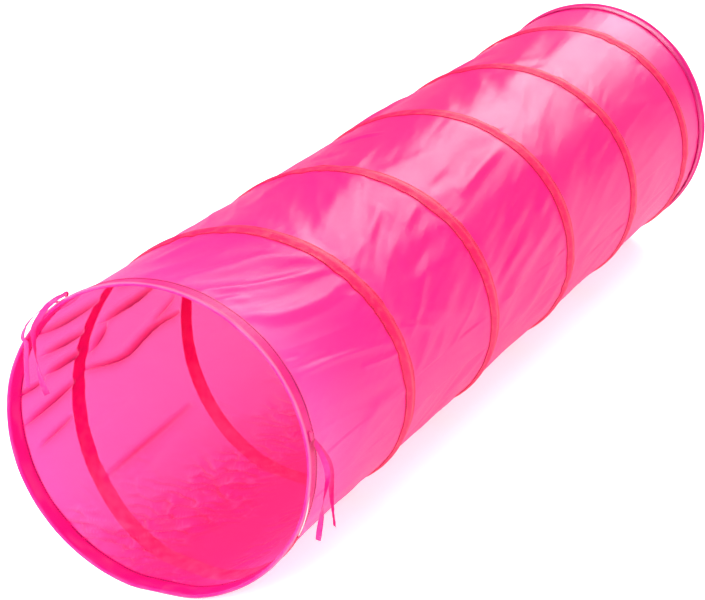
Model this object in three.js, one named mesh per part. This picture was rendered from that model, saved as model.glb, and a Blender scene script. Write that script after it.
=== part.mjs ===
// Pop-up agility tunnel: a cloth tube carried by one spring-steel coil that runs from a closed ring in the
// near hem to a closed ring in the far hem, with a tape sewn over the coil and two pairs of ties at the near rim.
// Millimetres. +X runs along the tunnel from the near opening to the far one, +Z up, z = 0 is the ground.
// The origin is the centre of the length and width, on the ground.
import * as THREE from "three";
import { mergeVertices } from "three/addons/utils/BufferGeometryUtils.js";

// ---- driving dimensions ----
const LENGTH = 1720; // rim to rim
const R = 230; // outside radius of the rims, which are the widest and lowest part
const STEPS = 36; // facets round the tube; the two at the bottom are one flat, where the tube lies
const BAYS = 6; // cloth bays between the rims
const X0 = 859.43; // distance from the near rim's plane to the origin
const GAP = 0.3; // between pieces that touch

const WIRE_R = 1.2; // spring-steel wire
const RIM_WIRE_RADIUS = R - 3.2; // centreline of the two closed rings
const COIL_RADIUS = 226.6; // centreline of the coil
const SKIN_IN = 224.3; // the cloth tube
const SKIN_OUT = 225.1;
const HEM_WIDTH = 29;
const TAPE_HALF = 16.5;

// The coil's distance from the near rim at every half turn, from 270 degrees before the first top.
const COIL_FROM = -270;
const COIL_X = [-1.9, 171.9, 335.5, 482.0, 652.2, 822.8, 985.4, 1145.5, 1304.1, 1452.0, 1605.2, 1760.7];
const NEAR_YAW = 0.05; // the near rim stands turned about Z by this slope, and the far rim the other way
const FAR_YAW = -0.045;
const YAW_FADE = 300; // over this much of each end

const RIM_FERRULE_LENGTH_DEG = 7; // crimp sleeve that closes a ring
const TIE_WIDTH = 8; // ribbon
const TIE_THICK = 1.2;

const D2R = Math.PI / 180;
const FLAT = Math.cos(10 * D2R); // how far the bottom flat is pulled in
const AXIS_Z = R * FLAT; // height of the tube's axis

// ---- the tube's own coordinates: x from the near rim, angle from the top towards -Y, radius ----
// Every layer is the same polygon, so the gaps between layers are the same all round.
function facet(deg) {
  const a = ((deg % 360) + 360) % 360;
  if (a > 170 && a < 190) return FLAT / Math.cos((a - 180) * D2R);
  const m = a % 10;
  return Math.cos(5 * D2R) / Math.cos((m - 5) * D2R);
}
function yaw(x) {
  const a = Math.max(0, 1 - x / YAW_FADE);
  const b = Math.max(0, (x - (LENGTH - YAW_FADE)) / YAW_FADE);
  return NEAR_YAW * a * a + FAR_YAW * b * b;
}
function place(x, deg, r) {
  const rr = r * facet(deg);
  const y = -rr * Math.sin(deg * D2R);
  return [x - yaw(x) * y - X0, y, AXIS_Z + rr * Math.cos(deg * D2R)];
}
// Free point: x, y from the axis, z from the ground, with the same turn as the rims.
function free(x, y, z) {
  return [x - yaw(x) * y - X0, y, z];
}
function coilX(deg) {
  const t = (deg - COIL_FROM) / 180;
  const i = Math.min(COIL_X.length - 2, Math.max(0, Math.floor(t)));
  const u = t - i;
  const p = (k) =>
    k < 0
      ? 2 * COIL_X[0] - COIL_X[1]
      : k >= COIL_X.length
        ? 2 * COIL_X[COIL_X.length - 1] - COIL_X[COIL_X.length - 2]
        : COIL_X[k];
  const [a, b, c, d] = [p(i - 1), p(i), p(i + 1), p(i + 2)];
  return (
    b +
    0.5 * u * (c - a + u * (2 * a - 5 * b + 4 * c - d + u * (3 * (b - c) + d - a)))
  );
}
function coilAngle(x) {
  let [lo, hi] = [COIL_FROM, COIL_FROM + 180 * (COIL_X.length - 1)];
  for (let i = 0; i < 60; i++) {
    const mid = (lo + hi) / 2;
    if (coilX(mid) < x) lo = mid;
    else hi = mid;
  }
  return (lo + hi) / 2;
}

// ---- geometry helpers ----
// Maps every vertex of a geometry and turns the faces outwards.
function mapped(geometry, fn) {
  let g = geometry.index ? geometry.toNonIndexed() : geometry;
  g.deleteAttribute("normal");
  g.deleteAttribute("uv");
  const p = g.getAttribute("position");
  for (let i = 0; i < p.count; i++) {
    const q = fn(p.getX(i), p.getY(i), p.getZ(i));
    p.setXYZ(i, q[0], q[1], q[2]);
  }
  g = mergeVertices(g, 1e-3);
  // drop the triangles that the merge has closed up
  const src = g.index.array;
  const keep = [];
  for (let i = 0; i < src.length; i += 3)
    if (src[i] !== src[i + 1] && src[i + 1] !== src[i + 2] && src[i] !== src[i + 2])
      keep.push(src[i], src[i + 1], src[i + 2]);
  let volume = 0;
  const at = g.getAttribute("position");
  const [a, b, c] = [new THREE.Vector3(), new THREE.Vector3(), new THREE.Vector3()];
  for (let i = 0; i < keep.length; i += 3) {
    a.fromBufferAttribute(at, keep[i]);
    b.fromBufferAttribute(at, keep[i + 1]);
    c.fromBufferAttribute(at, keep[i + 2]);
    volume += a.dot(b.cross(c));
  }
  if (volume < 0)
    for (let i = 0; i < keep.length; i += 3)
      [keep[i + 1], keep[i + 2]] = [keep[i + 2], keep[i + 1]];
  g.setIndex(keep);
  g.computeVertexNormals();
  return g;
}
// A closed profile of [x, r] points turned once round the tube.
function ring(profile) {
  const points = [...profile, profile[0]].map(([x, r]) => new THREE.Vector2(r, x));
  return mapped(new THREE.LatheGeometry(points, STEPS), (lx, ly, lz) => {
    let deg = Math.atan2(lx, lz) / D2R;
    deg = Math.round(deg / 10) * 10;
    return place(ly, deg, Math.hypot(lx, lz));
  });
}
function shapeOf(points) {
  return new THREE.Shape(points.map(([x, y]) => new THREE.Vector2(x, y)));
}
// A section of [s, r] points carried along angles; x of the section's middle is xAt(angle).
function along(points, angles, xAt) {
  const g = new THREE.ExtrudeGeometry(shapeOf(points), {
    depth: angles.length - 1,
    steps: angles.length - 1,
    bevelEnabled: false,
  });
  return mapped(g, (s, r, k) => {
    const deg = angles[Math.round(k)];
    return place(xAt(deg) + s, deg, r);
  });
}
// Angles from a to b, with every whole facet edge in between.
function facetAngles(a, b) {
  const out = [a];
  for (let d = Math.ceil((a + 0.4) / 10) * 10; d < b - 0.4; d += 10) out.push(d);
  out.push(b);
  return out;
}
function circle(n, radius, cx, cy, turn = 0) {
  return Array.from({ length: n }, (_, i) => {
    const t = turn + (i / n) * 2 * Math.PI;
    return [cx + radius * Math.cos(t), cy + radius * Math.sin(t)];
  });
}
// A ribbon: a flat eight-sided section carried along points, each with the direction of its width.
function ribbon(points, widths) {
  const w = TIE_WIDTH / 2,
    t = TIE_THICK / 2;
  const section = [
    [-w, -t / 2], [-w + t, -t], [w - t, -t], [w, -t / 2],
    [w, t / 2], [w - t, t], [-w + t, t], [-w, t / 2],
  ];
  const curve = new THREE.CatmullRomCurve3(points.map((p) => new THREE.Vector3(...p)), false, "centripetal");
  const wide = new THREE.CatmullRomCurve3(widths.map((p) => new THREE.Vector3(...p)), false, "centripetal");
  const n = Math.max(8, Math.round(curve.getLength() / 9));
  const g = new THREE.ExtrudeGeometry(shapeOf(section), { depth: n, steps: n, bevelEnabled: false });
  return mapped(g, (sx, sy, k) => {
    const u = Math.round(k) / n;
    const at = curve.getPoint(u);
    const T = curve.getTangent(u);
    const W = wide.getPoint(u);
    W.addScaledVector(T, -W.dot(T)).normalize();
    const N = new THREE.Vector3().crossVectors(T, W);
    at.addScaledVector(W, sx).addScaledVector(N, sy);
    return [at.x, at.y, at.z];
  });
}

// ---- materials ----
const cloth = (color, roughness = 0.55) =>
  new THREE.MeshStandardMaterial({ color, roughness, metalness: 0, side: THREE.DoubleSide });
const PINK = cloth(0xff4fa3);
const HEM_PINK = cloth(0xf53b97, 0.6);
const TAPE = cloth(0xff3a66, 0.65);
const RIBBON = cloth(0xf060b0, 0.4);
const STEEL = new THREE.MeshStandardMaterial({ color: 0x9a9ca0, roughness: 0.35, metalness: 1 });

const tunnel = new THREE.Group();
tunnel.name = "agility_tunnel";
function add(parent, name, geometry, material) {
  const mesh = new THREE.Mesh(geometry, material.clone());
  mesh.name = name;
  parent.add(mesh);
  return mesh;
}

// ---- the two rims: ring wire, crimp sleeve and folded hem ----
// The hem's fold wraps the ring; its two layers then lie on both sides of the tube's edge.
const HEM = [
  [HEM_WIDTH, 226.3], [9, 226.3], [5.8, 230], [1.2, 230], [0, 228.8], [0, 224.8], [1.2, 223.6], [HEM_WIDTH, 223.1],
  [HEM_WIDTH, 224], [6.5, 224.3], [1.7, 224.5], [0.9, 225.3], [0.9, 228.3], [1.7, 229.1], [5.2, 229.1], [8.2, 225.4],
  [HEM_WIDTH, 225.4],
];
for (const [end, at, way] of [["near", 0, 1], ["far", LENGTH, -1]]) {
  const x = (s) => at + way * s;
  const group = new THREE.Group();
  tunnel.add(group);
  add(group, `${end}_rim_hem`, ring(HEM.map(([s, r]) => [x(s), r])), HEM_PINK);
  add(group, `${end}_rim_wire`, ring(circle(6, WIRE_R, 3.2, RIM_WIRE_RADIUS).map(([s, r]) => [x(s), r])), STEEL);
  // the sleeve is a tube section along a short arc at the bottom left of the ring
  const outer = circle(8, 2.0, 0, RIM_WIRE_RADIUS);
  const sleeve = shapeOf(outer);
  sleeve.holes.push(new THREE.Path(circle(8, 1.62, 0, RIM_WIRE_RADIUS).reverse().map(([a, b]) => new THREE.Vector2(a, b))));
  const from = end === "near" ? 96.5 : 206.5;
  const arc = [from, from + RIM_FERRULE_LENGTH_DEG / 2, from + RIM_FERRULE_LENGTH_DEG];
  const g = new THREE.ExtrudeGeometry(sleeve, { depth: arc.length - 1, steps: arc.length - 1, bevelEnabled: false });
  add(group, `${end}_rim_ferrule`, mapped(g, (s, r, k) => place(x(3.2) + s, arc[Math.round(k)], r)), STEEL);
}

// ---- the six bays: cloth, coil and tape over the coil ----
const SKIN_FROM = 8.6;
const tapeSection = [
  [-TAPE_HALF, 225.4], [-2.6, 225.4], [-1.7, 228.1], [1.7, 228.1], [2.6, 225.4], [TAPE_HALF, 225.4],
  [TAPE_HALF, 226.1], [2.7, 228.9], [-2.7, 228.9], [-TAPE_HALF, 226.1],
];
const wireSection = circle(6, WIRE_R, 0, COIL_RADIUS, Math.PI / 6);
for (let i = 1; i <= BAYS; i++) {
  const bay = new THREE.Group();
  tunnel.add(bay);
  const [a, b] = [i - 1, i].map((k) => (k === 0 ? SKIN_FROM : k === BAYS ? LENGTH - SKIN_FROM : (LENGTH * k) / BAYS));
  const [ea, eb] = [i === 1 ? 0 : GAP / 2, i === BAYS ? 0 : GAP / 2];
  add(bay, `skin_bay_${i}`, ring([[a + ea, SKIN_IN], [b - eb, SKIN_IN], [b - eb, SKIN_OUT], [a + ea, SKIN_OUT]]), PINK);
  const cut = 0.15; // degrees at each cut, about 0.6 mm of cloth
  const tapeA = i === 1 ? coilAngle(HEM_WIDTH + TAPE_HALF + GAP) : coilAngle(a) + cut;
  const tapeB = i === BAYS ? coilAngle(LENGTH - HEM_WIDTH - TAPE_HALF - GAP) : coilAngle(b) - cut;
  const wireA = i === 1 ? coilAngle(HEM_WIDTH + WIRE_R + GAP) : tapeA;
  const wireB = i === BAYS ? coilAngle(LENGTH - HEM_WIDTH - WIRE_R - GAP) : tapeB;
  add(bay, `spiral_wire_${i}`, along(wireSection, facetAngles(wireA, wireB), coilX), STEEL);
  add(bay, `channel_tape_${i}`, along(tapeSection, facetAngles(tapeA, tapeB), coilX), TAPE);
}

// ---- the ties ----
// Each tie is one ribbon, folded at its middle and sewn down on the near hem's outside, so it has two tails.
const ties = new THREE.Group();
tunnel.add(ties);
const LEFT_AT = 323, RIGHT_AT = 78.7; // angles of the two tacks
function tack(name, deg, x) {
  const w = 2.4; // half width of the sewn tack, in degrees of arc 2.0 = 8 mm
  const g = new THREE.ExtrudeGeometry(shapeOf([[x - 5, 226.6], [x + 5, 226.6], [x + 5, 227.8], [x - 5, 227.8]]), {
    depth: 1, steps: 1, bevelEnabled: false,
  });
  add(ties, name, mapped(g, (s, r, k) => place(s, deg + (k - 0.5) * w, r)), RIBBON);
}
tack("left_tie_tack", LEFT_AT, 15);
tack("right_tie_tack", RIGHT_AT, 18);
const polar = (x, deg, r) => place(x, deg, r / facet(deg));
// [point, direction of the ribbon's width]
const TAILS = {
  left_tie_tail_front: [
    [polar(15, LEFT_AT - 1.75, 229.2), [1, 0, 0]],
    [polar(13, 319, 233.5), [1, 0, 0]],
    [polar(9, 315, 239.5), [1, 0, 0.1]],
    [polar(4, 310.5, 241.5), [0.9, 0.2, 0.2]],
    [polar(-2, 306, 239), [0.7, 0.5, 0.3]],
    [polar(-6, 302.5, 234), [0.3, 0.9, 0.2]],
    [free(-8, 191, 348), [0.1, 1, 0.05]],
    [free(-8.5, 193.5, 331), [0.05, 1, 0]],
    [free(-8.5, 194, 312), [0, 1, 0]],
    [free(-8.5, 193.5, 293), [0, 1, 0]],
    [free(-8.5, 193.5, 283), [0, 1, 0]],
  ],
  left_tie_tail_back: [
    [polar(15, LEFT_AT + 1.75, 229.2), [1, 0, 0]],
    [polar(10, 326, 232.6), [1, 0.1, 0.1]],
    [polar(2.5, 325, 234.4), [0.7, 0.5, 0.3]],
    [polar(-4.5, 320, 233.5), [0.2, 0.8, 0.5]],
    [free(-7.5, 163, 386), [-0.3, 0.9, 0.2]],
    [free(-8, 172, 368), [-0.8, 0.6, 0]],
    [free(-8, 171.5, 348), [-1, 0.1, 0]],
    [free(-8, 169.5, 328), [-0.8, -0.5, 0]],
    [free(-8, 166.5, 308), [-0.3, -0.9, 0]],
    [free(-8, 161.5, 289), [0.3, -0.9, -0.1]],
    [free(-8, 156, 276), [0.7, -0.7, -0.1]],
  ],
  right_tie_tail_back: [
    [polar(19, RIGHT_AT + 1.75, 229.2), [1, 0, 0]],
    [polar(24, 83, 232.8), [0.9, 0, 0.3]],
    [polar(31, 86, 235.5), [0.8, -0.2, 0.3]],
    [polar(39, 89.5, 238), [0.6, -0.5, 0.3]],
    [free(44, -239, 212), [0.4, -0.8, 0.1]],
    [free(46, -238.5, 196), [0.2, -0.95, 0]],
    [free(47, -238.5, 178), [-0.2, -0.95, 0]],
    [free(48, -239.5, 160), [-0.5, -0.8, 0]],
    [free(49, -240.5, 146), [-0.6, -0.7, 0]],
    [free(50, -242, 130), [-0.6, -0.7, 0]],
  ],
  right_tie_tail_front: [
    [polar(15, RIGHT_AT + 1.75, 231.4), [1, 0, 0]],
    [polar(16, 83.5, 236.5), [0.9, -0.3, 0.3]],
    [polar(19, 87, 241), [0.6, -0.7, 0.3]],
    [polar(22, 91, 243.8), [0.2, -0.95, 0.1]],
    [free(24, -243, 208), [-0.3, -0.9, 0]],
    [free(22, -240.5, 190), [-0.7, -0.6, 0]],
    [free(19, -238.5, 172), [-0.9, -0.2, 0]],
    [free(17, -237, 154), [-0.8, 0.5, 0]],
    [free(14.5, -235, 137), [-0.4, 0.9, 0]],
    [free(12.5, -234, 124), [0.1, 1, 0]],
  ],
};
for (const [name, route] of Object.entries(TAILS))
  add(ties, name, ribbon(route.map((r) => r[0]), route.map((r) => r[1])), RIBBON);

export default tunnel;
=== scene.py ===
import math

import bpy
import numpy as np
from mathutils import Matrix, Vector


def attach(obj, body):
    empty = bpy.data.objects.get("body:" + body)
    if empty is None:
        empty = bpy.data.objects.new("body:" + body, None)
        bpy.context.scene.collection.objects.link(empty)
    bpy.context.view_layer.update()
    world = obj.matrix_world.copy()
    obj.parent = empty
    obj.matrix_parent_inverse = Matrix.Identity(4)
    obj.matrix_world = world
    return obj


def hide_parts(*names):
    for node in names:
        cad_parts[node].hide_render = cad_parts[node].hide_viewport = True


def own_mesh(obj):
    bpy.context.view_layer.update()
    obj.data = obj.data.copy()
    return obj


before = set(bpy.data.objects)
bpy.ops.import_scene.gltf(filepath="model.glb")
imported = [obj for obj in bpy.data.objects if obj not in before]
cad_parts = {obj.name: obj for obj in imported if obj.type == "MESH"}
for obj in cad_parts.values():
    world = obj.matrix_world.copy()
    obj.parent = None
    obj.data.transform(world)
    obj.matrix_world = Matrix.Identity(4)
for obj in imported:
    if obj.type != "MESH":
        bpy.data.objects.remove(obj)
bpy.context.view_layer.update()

# ------------------------------------------------------------------ the tube's own coordinates (metres)
L = 1.72
X0 = 0.85943
R = 0.230
FLAT = math.cos(math.radians(10))
AXIS_Z = R * FLAT
SKIN_R = 0.2247
COIL_R = 0.2266
WIRE_R = 0.0012
COIL_FROM = -270.0
COIL_X = np.array([-1.9, 171.9, 335.5, 482.0, 652.2, 822.8, 985.4, 1145.5, 1304.1, 1452.0, 1605.2, 1760.7]) / 1000
TRAVEL = 1.640


def yaw(x):
    a = np.maximum(0, 1 - x / 0.3)
    b = np.maximum(0, (x - (L - 0.3)) / 0.3)
    return 0.05 * a * a - 0.045 * b * b


def flat(deg):
    d = np.cos(np.radians(np.asarray(deg, float) - 180)) / FLAT
    d = np.clip(d, 0, None)
    return (1 + d**200) ** (-1 / 200)


def place(x, deg, r):
    x, deg, r = np.broadcast_arrays(*(np.asarray(v, float) for v in (x, deg, r)))
    a = np.radians(deg)
    g = flat(deg)
    y = -r * g * np.sin(a)
    z = AXIS_Z + r * g * np.cos(a)
    return np.stack([x - yaw(x) * y - X0, y, z], -1)


def free(x, y, z):
    return np.array([x - yaw(np.float64(x)) * y - X0, y, z])


def coil_x(deg):
    t = (np.asarray(deg, float) - COIL_FROM) / 180
    n = len(COIL_X)
    i = np.clip(np.floor(t).astype(int), 0, n - 2)
    u = t - i
    ext = np.concatenate([[2 * COIL_X[0] - COIL_X[1]], COIL_X, [2 * COIL_X[-1] - COIL_X[-2]]])
    a, b, c, d = ext[i], ext[i + 1], ext[i + 2], ext[i + 3]
    return b + 0.5 * u * (c - a + u * (2 * a - 5 * b + 4 * c - d + u * (3 * (b - c) + d - a)))


def coil_angle(x):
    lo, hi = COIL_FROM, COIL_FROM + 180 * (len(COIL_X) - 1)
    for _ in range(60):
        mid = (lo + hi) / 2
        if coil_x(mid) < x:
            lo = mid
        else:
            hi = mid
    return (lo + hi) / 2


# ------------------------------------------------------------------ camera
cam_data = bpy.data.cameras.new("camera")
cam = bpy.data.objects.new("camera", cam_data)
bpy.context.scene.collection.objects.link(cam)
F_PX, DOWN, HEAD = 2247.9, math.radians(21.054), math.radians(25.776)
cam_data.sensor_width = 36
cam_data.lens = F_PX / 705 * 36
forward = Vector((math.cos(DOWN) * math.cos(HEAD), math.cos(DOWN) * math.sin(HEAD), -math.sin(DOWN)))
right = Vector((math.sin(HEAD), -math.cos(HEAD), 0))
up = right.cross(forward)
cam.matrix_world = Matrix.Translation((-2.3556 - X0, -1.4334, 1.4904)) @ Matrix(
    (
        (right.x, up.x, -forward.x, 0),
        (right.y, up.y, -forward.y, 0),
        (right.z, up.z, -forward.z, 0),
        (0, 0, 0, 1),
    )
)
cam_data.clip_start, cam_data.clip_end = 0.05, 60
bpy.context.scene.camera = cam


# ------------------------------------------------------------------ noise
def lattice(seed):
    return np.random.default_rng(seed).random((256, 256))


def vnoise(u, v, seed):
    t = lattice(seed)
    iu, iv = np.floor(u).astype(int), np.floor(v).astype(int)
    fu, fv = u - iu, v - iv
    fu, fv = fu * fu * fu * (fu * (fu * 6 - 15) + 10), fv * fv * fv * (fv * (fv * 6 - 15) + 10)
    a, b = t[iu % 256, iv % 256], t[(iu + 1) % 256, iv % 256]
    c, d = t[iu % 256, (iv + 1) % 256], t[(iu + 1) % 256, (iv + 1) % 256]
    return (a * (1 - fu) + b * fu) * (1 - fv) + (c * (1 - fu) + d * fu) * fv


def fbm(u, v, seed, octaves=3, gain=0.5):
    total, amp, norm = 0, 1.0, 0
    for o in range(octaves):
        total = total + amp * (vnoise(u * 2**o + 13.7 * o, v * 2**o + 7.1 * o, seed + o) * 2 - 1)
        norm += amp
        amp *= gain
    return total / norm


def streaks(x, s, angle, long, short, seed, octaves=2):
    """Noise drawn out along a direction at angle degrees from +X towards +s."""
    a = math.radians(angle)
    u = x * math.cos(a) + s * math.sin(a)
    v = -x * math.sin(a) + s * math.cos(a)
    return fbm(u / long + 31.3, v / short + 57.9, seed, octaves)


def sstep(a, b, x):
    t = np.clip((x - a) / (b - a), 0, 1)
    return t * t * (3 - 2 * t)


# ------------------------------------------------------------------ the cloth between the coil's turns
# Tension folds in the cloth: points (x mm, degrees), half width mm, height mm (inward is negative).
FOLDS = [
    ([(39, 3.2), (110, 9.6), (195, 16.6), (277, 29.9)], 14, 3.0),
    ([(33, 7.1), (99, 15.1), (171, 23.2), (258, 30.4)], 10.6, -2.5),
    ([(32, 13.3), (105, 22.3), (190, 29.1), (263, 34.4)], 7.7, 2.2),
    ([(22, 18.2), (78, 22.1)], 5.8, -1.5),
    ([(30, 21.0), (81, 25.8)], 7.9, 2.0),
    ([(50, 26.2), (124, 32.3), (222, 35.9), (264, 36.6)], 9.4, -3.0),
    ([(33, 30.8), (103, 38.0), (199, 42.1), (260, 41.2)], 11.5, 3.0),
    ([(42, 51.7), (75, 53.5)], 2.6, -1.0),
    ([(37, 55.2), (142, 59.2)], 3.9, -1.5),
    ([(49, 59.1), (146, 62.0), (297, 70.0)], 5.5, 1.5),
    ([(212, 71.2), (317, 75.7)], 4.5, 2.0),
    ([(186, 91.0), (236, 88.3), (320, 88.8)], 12.8, 2.0),
    ([(125, 343.5), (209, 349.5)], 14, 2.0),
    ([(59, 351.8), (136, 0.1), (202, 6.7)], 14, 1.5),
    ([(316, 20.9), (384, 15.9), (480, 9.1)], 12.8, 2.0),
    ([(391, 5.8), (499, 354.3)], 12.0, -1.5),
    ([(420, 28.9), (534, 15.2)], 7.4, -1.5),
    ([(412, 33.9), (497, 25.8)], 6.0, 2.5),
    ([(370, 43.4), (431, 36.1), (485, 30.8)], 6.3, -3.0),
    ([(396, 46.0), (448, 39.7)], 8.2, 2.0),
    ([(502, 38.5), (566, 34.4)], 6.2, 2.5),
    ([(523, 40.7), (597, 37.8)], 7.1, -2.0),
    ([(413, 53.6), (499, 50.6), (570, 47.9)], 6.3, -2.5),
    ([(320, 37.9), (386, 33.7)], 5.6, 1.5),
    ([(352, 68.5), (423, 75.0)], 4.4, 2.5),
    ([(367, 59.8), (464, 72.7), (616, 85.3)], 8.7, 1.5),
    ([(388, 74.6), (596, 92.8)], 5.9, -1.5),
    ([(373, 344.9), (480, 343.1), (547, 345.3)], 14, 2.0),
    ([(380, 56.9), (518, 57.7), (623, 59.6)], 14, 1.5),
    ([(738, 338.4), (786, 351.1)], 6.0, 2.5),
    ([(632, 338.3), (667, 349.9)], 14, -1.5),
    ([(611, 14.4), (748, 18.3)], 11.1, 1.5),
    ([(716, 33.0), (823, 28.5), (884, 28.6)], 6.3, -2.0),
    ([(640, 31.9), (720, 31.5)], 5.0, -2.5),
    ([(702, 40.3), (804, 36.3), (904, 34.2)], 7.6, 3.0),
    ([(850, 51.4), (910, 46.5)], 5.4, 1.5),
    ([(698, 39.9), (904, 34.2)], 6.3, 1.5),
    ([(676, 91.5), (760, 84.0), (879, 76.6), (935, 72.2)], 9.3, 3.0),
    ([(739, 92.9), (802, 85.4), (899, 78.1), (954, 73.7)], 10.3, -3.5),
    ([(777, 103.2), (851, 96.2), (936, 85.5)], 14, 3.0),
    ([(848, 105.3), (917, 95.2), (950, 88.9)], 14, -2.5),
    ([(918, 112.3), (970, 104.6)], 14, 2.0),
    ([(693, 80.4), (753, 74.9), (824, 72.1)], 7.0, 1.5),
    ([(655, 85.5), (724, 78.8)], 8.4, -1.5),
    ([(887, 66.2), (935, 63.2)], 6.2, 2.0),
    ([(994, 3.1), (1164, 345.3)], 8.7, -1.5),
    ([(1033, 13.0), (1162, 0.1)], 8.5, -1.5),
    ([(1021, 33.3), (1114, 25.0), (1177, 19.5)], 5.3, -1.5),
    ([(1046, 35.8), (1148, 29.0), (1219, 24.9)], 7.2, 1.5),
    ([(1009, 47.1), (1183, 39.4), (1271, 37.8)], 12.6, -1.2),
    ([(1137, 62.5), (1227, 59.5), (1282, 56.0)], 6.2, 1.5),
    ([(1067, 61.8), (1209, 58.1)], 7.7, -1.5),
    ([(1009, 93.8), (1128, 87.3)], 14, 1.2),
    ([(1481, 57.5), (1545, 56.6)], 5.8, -1.0),
    ([(1374, 52.3), (1523, 60.5)], 11.3, 1.0),
    ([(25, 302.8), (97, 300.2), (187, 299.9)], 7.0, -5.4),
    ([(21, 315.6), (81, 315.6)], 7.0, -2.7),
    ([(72, 288.1), (173, 287.1)], 5.2, -5.4),
    ([(89, 278.0), (172, 278.8)], 4.5, -6.8),
    ([(19, 276.0), (83, 275.9)], 4.1, -4.7),
    ([(33, 263.9), (159, 267.9)], 5.3, -5.4),
    ([(54, 253.6), (138, 256.2)], 4.6, -2.7),
    ([(225, 286.1), (292, 287.4), (369, 288.6)], 5.8, -6.8),
    ([(199, 276.0), (235, 283.0)], 6.9, -5.4),
    ([(191, 269.5), (280, 265.4), (369, 269.1), (454, 268.1)], 4.8, -6.8),
    ([(237, 301.3), (329, 298.8)], 5.1, -4.1),
    ([(384, 271.0), (444, 276.2)], 7.0, -2.7),
    ([(152, 229.6), (246, 230.9), (404, 232.6)], 4.9, -2.7),
    ([(137, 219.5), (347, 227.0)], 7.0, -1.8),
    ([(184, 249.4), (278, 248.0)], 5.1, -2.0),
    ([(45, 312.5), (106, 315.6)], 7.0, -0.9),
]


# The side away from the drawn folds has the same kind, half a turn of the coil further on.
FOLDS += [
    ([(x + 163, 360 - deg) for x, deg in pts], 1.4 * width, max(-1.8, height))
    for pts, width, height in FOLDS
    if 600 < pts[0][0] < 1400 and pts[0][1] < 120
]

# Where the cloth on the ground is crumpled most: x, degrees, reach along, reach across (metres).
CRUMPLED = [
    (0.22, 195, 0.075, 0.040), (0.30, 203, 0.09, 0.035), (0.10, 202, 0.045, 0.035), (0.38, 198, 0.08, 0.035), (0.045, 180, 0.03, 0.03),
    (0.27, 185, 0.05, 0.02), (0.06, 222, 0.03, 0.02), (0.62, 190, 0.10, 0.06), (0.95, 176, 0.12, 0.06), (1.30, 188, 0.12, 0.07),
]


def rounded(a, b, n=12):
    """A smooth run through the points."""
    out = []
    for v in (a, b):
        e = np.concatenate([[2 * v[0] - v[1]], v, [2 * v[-1] - v[-2]]])
        f = np.linspace(0, len(v) - 1, n)
        i = np.minimum(f.astype(int), len(v) - 2)
        u = f - i
        p, q, r, t = e[i], e[i + 1], e[i + 2], e[i + 3]
        out.append(q + 0.5 * u * (r - p + u * (2 * p - 5 * q + 4 * r - t + u * (3 * (q - r) + t - p))))
    return out


def tension_folds(x, deg):
    """Height of the drawn-out folds, each along its own line on the tube, and how far the cloth lies double in the
    tucks there, which lets less light through and is painted darker (painted shade).
    """
    out, double_layer_and_shade = np.zeros_like(x), np.zeros_like(x)
    for pts, width, height in FOLDS:
        px = np.array([p[0] for p in pts]) / 1000
        pd = np.array([p[1] for p in pts], float)
        pd = pd[0] + (pd - pd[0] + 180) % 360 - 180
        ps = np.radians(pd) * SKIN_R
        w, h = width / 1000, height / 1000 * (1.45 if pts[0][0] < 300 and height < 9 and 320 < pts[0][1] + 360 * (pts[0][1] < 180) < 460 else 1.15)
        if pts[0][0] > 300 and pts[0][1] < 180:
            w, h = min(w * 1.6, 0.016), h * 1.05
        if len(px) > 2:
            px, ps = rounded(px, ps)
        rel = (deg - pd[0] + 180) % 360 - 180
        s = np.radians(rel + pd[0]) * SKIN_R
        m = (x > px.min() - 4 * w) & (x < px.max() + 4 * w) & (s > ps.min() - 5 * w) & (s < ps.max() + 5 * w)
        if not m.any():
            continue
        X, S = x[m], s[m]
        best, where = np.full(X.shape, 9.0), np.zeros(X.shape)
        for i in range(len(px) - 1):
            ax, as_, bx, bs = px[i], ps[i], px[i + 1], ps[i + 1]
            ll = (bx - ax) ** 2 + (bs - as_) ** 2
            t = np.clip(((X - ax) * (bx - ax) + (S - as_) * (bs - as_)) / ll, 0, 1)
            d = np.hypot(X - ax - t * (bx - ax), S - as_ - t * (bs - as_))
            side = np.sign((bx - ax) * (S - as_) - (bs - as_) * (X - ax))
            nearer = d < np.abs(best)
            best = np.where(nearer, d * side, best)
            where = np.where(nearer, (i + t) / (len(px) - 1), where)
        taper = 0.35 + 0.65 * np.sin(np.pi * np.clip(where, 0, 1)) ** 0.6
        e = best / w
        if 180 < pts[0][1] % 360 < 320 and height < -2:
            # cloth pinched into a narrow tuck, with a soft swell beside it
            shape = 1.75 * np.exp(-(np.abs(e / 0.80) ** 1.5)) - 0.42 * np.exp(-(((e - 0.6) / 2.8) ** 2))
            strength = taper * min(1, -height / 4.5)
            # how far the cloth lies double in the tuck: less light passes through it, and the tuck is painted darker
            # with it as painted shade
            double_layer_and_shade[m] = np.maximum(double_layer_and_shade[m], strength * np.exp(-(((e + 0.25) / 0.95) ** 2)))
            double_layer_and_shade[m] = np.maximum(double_layer_and_shade[m], 0.42 * strength * np.exp(-(((e + 1.3) / 1.9) ** 2)))
        else:
            if h < 0:
                e, h = e / 1.5, h * 0.85
            shape = np.exp(-(e**2)) * (1 + 0.35 * e) - 0.22 * np.exp(-((e / 2.4) ** 2))
        out[m] += h * shape * taper
    return out, double_layer_and_shade


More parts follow.
